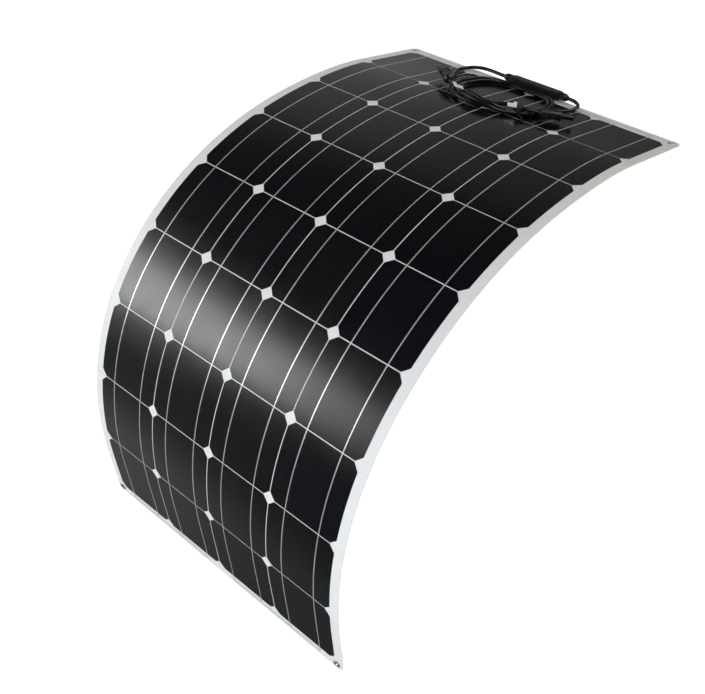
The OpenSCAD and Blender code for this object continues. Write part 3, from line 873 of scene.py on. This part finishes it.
# A narrow strip light overhead, for the thin highlights on the leads, the box and the plugs.
STRIP_ACROSS = [(0, 0), (0.5, 0), (0.56, 1), (0.66, 1), (0.72, 0), (1, 0)]
STRIP_HEIGHT = [(0, 0), (0.5, 0), (0.65, 1), (1, 1)]
SURROUND_STRENGTH, SOFTBOX_STRENGTH, STRIP_STRENGTH = 1.4, 8.2, 7.0
# The world sees a first mirror image at ray depth 2. Deeper rays see the plain sky.
FIRST_IMAGE_DEPTH = 2.5


class WorldNodes(NodeTree):
    """The world's node tree, emptied, with the steps that its shader is made of."""

    def __init__(self, world):
        world.use_nodes = True
        super().__init__(world.node_tree)
        self.tree.nodes.clear()

    def graph(self, source, low, high, points):
        """A smooth curve through points, of the source between low and high."""
        scaled = self.node("ShaderNodeMapRange")
        scaled.inputs["From Min"].default_value = low
        scaled.inputs["From Max"].default_value = high
        self.link(source, scaled.inputs["Value"])
        made = self.node("ShaderNodeFloatCurve")
        curve = made.mapping.curves[0]
        curve.points[0].location = points[0]
        curve.points[1].location = points[-1]
        for point in points[1:-1]:
            curve.points.new(*point)
        made.mapping.update()
        self.link(scaled.outputs["Result"], made.inputs["Value"])
        return made.outputs["Value"]

    def product(self, *factors):
        total = factors[0]
        for factor in factors[1:]:
            total = self.math("MULTIPLY", total, factor)
        return total

    def background(self, colour, strength=None):
        made = self.node("ShaderNodeBackground")
        made.inputs["Color"].default_value = (*colour, 1)
        if strength is not None:
            self.link(strength, made.inputs["Strength"])
        return made.outputs[0]

    def mix(self, choice, first, second):
        made = self.node("ShaderNodeMixShader")
        for socket, source in zip(made.inputs, (choice, first, second)):
            self.link(source, socket)
        return made.outputs[0]


def mirrored_strength(nodes):
    """How bright the studio is that gloss mirrors, in each direction."""
    direction = nodes.node("ShaderNodeSeparateXYZ")
    nodes.link(nodes.node("ShaderNodeTexCoord").outputs["Generated"], direction.inputs[0])
    x, y, z = direction.outputs
    tilted = nodes.math("SUBTRACT", z, nodes.math("MULTIPLY", y, SURROUND_TILT))
    surround = nodes.product(
        nodes.graph(x, -1, 1, SURROUND_ACROSS),
        nodes.graph(tilted, -1, 1, SURROUND_ABOVE),
        nodes.graph(y, -1, 1, SURROUND_ALONG),
        SURROUND_STRENGTH,
    )
    slanted = nodes.math("SUBTRACT", x, nodes.math("MULTIPLY", z, SOFTBOX_SLANT))
    softbox = nodes.product(
        nodes.graph(z, -0.4, 0.6, SOFTBOX_HEIGHT),
        nodes.graph(slanted, -0.98, -0.38, SOFTBOX_ACROSS),
        nodes.graph(y, -1, 0, SOFTBOX_FRONT),
        SOFTBOX_STRENGTH,
    )
    strip = nodes.product(
        nodes.math("MAXIMUM", nodes.graph(x, -1, 1, STRIP_ACROSS), 0),
        nodes.math("MAXIMUM", nodes.graph(z, 0, 1, STRIP_HEIGHT), 0),
        STRIP_STRENGTH,
    )
    return nodes.math("ADD", nodes.math("ADD", surround, softbox), strip)


def make_world():
    """Even warm sky for colour, white where the camera sees it, and a soft studio
    surround that only the first mirror image picks up."""
    world = bpy.data.worlds.new("studio")
    bpy.context.scene.world = world
    nodes = WorldNodes(world)
    world.cycles.sampling_method = "NONE"
    path = nodes.node("ShaderNodeLightPath")
    near = nodes.math("LESS_THAN", path.outputs["Ray Depth"], FIRST_IMAGE_DEPTH)
    sky = nodes.background(SKY)
    mirrored = nodes.background(MIRRORED, mirrored_strength(nodes))
    plain = nodes.mix(path.outputs["Is Camera Ray"], sky, nodes.background(SEEN))
    whole = nodes.mix(nodes.math("MULTIPLY", path.outputs["Is Glossy Ray"], near), plain, mirrored)
    nodes.link(whole, nodes.node("ShaderNodeOutputWorld").inputs[0])


def softlight(name, place, aim, size, power, colour):
    data = bpy.data.lights.new(name, "AREA")
    data.shape = "DISK"
    data.size = size
    data.energy = power
    data.color = colour
    light = bpy.data.objects.new(name, data)
    light.location = place
    light.rotation_euler = (Vector(aim) - Vector(place)).to_track_quat("-Z", "Y").to_euler()
    light.visible_glossy = False
    bpy.context.scene.collection.objects.link(light)


def make_lights():
    softlight("front_fill", (0.6, -3.7, 1.2), (0, -0.4, -0.3), 2.5, 72, (0.76, 0.87, 1.0))
    softlight("top_key", (-1.0, 0.6, 2.6), (0, -0.1, 0), 1.6, 12, (1.0, 0.97, 0.93))


# --- Scene --------------------------------------------------------------------
make_camera()
bpy.context.scene.view_settings.view_transform = "Standard"

looks = {
    "backsheet": backsheet_surface(),
    "cell": cell_surface(),
    "ribbon": ribbon_surface("tinned_ribbon", 0.65, (0.62, 0.63, 0.64), (0.82, 0.82, 0.82)),
    "bus": ribbon_surface("tinned_bus", 0.3, (0.5, 0.51, 0.52), (0.62, 0.62, 0.62)),
    "film": film_surface(),
    "eyelet": metal_surface("eyelet_metal", (0.8, 0.79, 0.77), (0.6, 0.59, 0.57), 0.3),
    "box": plastic_surface("box_plastic", 0.007, roughness=0.4),
    "nut": plastic_surface("gland_plastic", 0.006, roughness=0.34),
    "connector": plastic_surface("connector_plastic", 0.004, roughness=0.3),
    "jacket": jacket_surface(),
    "foam": foam_surface(),
    "brass": metal_surface("terminal_brass", (0.72, 0.52, 0.22), (0.5, 0.34, 0.14), 0.35),
    "diode": plastic_surface("diode_epoxy", 0.02, roughness=0.35),
    "gasket": rubber_surface("seal_rubber", (0.04, 0.04, 0.04)),
    "o_ring": rubber_surface("o_ring_rubber", (0.02, 0.02, 0.02)),
    "contact": metal_surface("tinned_contact", (0.78, 0.77, 0.74), (0.6, 0.59, 0.56), 0.25),
    "tie": plastic_surface("tie_nylon", 0.006, roughness=0.34),
    "paper": paper_surface(),
    "floor": floor_surface(),
}

positive_line = smooth_route(POSITIVE_LEAD, POSITIVE_TURNS, POSITIVE_END, SOCKET_REAR, SOCKET_HEADING)
negative_line = smooth_route(NEGATIVE_LEAD, NEGATIVE_TURNS, NEGATIVE_END, PIN_REAR, PIN_HEADING)
make_lead(
    "positive_cable", "cable_positive", positive_line, -1,
    looks["jacket"],
)
make_lead(
    "negative_cable", "cable_negative", negative_line, 1,
    looks["jacket"],
)

rows = make_rows()
make_sheet(rows, looks)
make_eyelets(rows, looks["eyelet"])
make_tie(looks["tie"])
make_tag("tag_left", (-52, -146, 18), 175, -35, 20, looks["paper"])
make_tag("tag_right", (41, -128.3, 12.4), 20, 20, 15, looks["paper"])
dress_parts(looks)
make_floor(looks["floor"])
make_world()
make_lights()
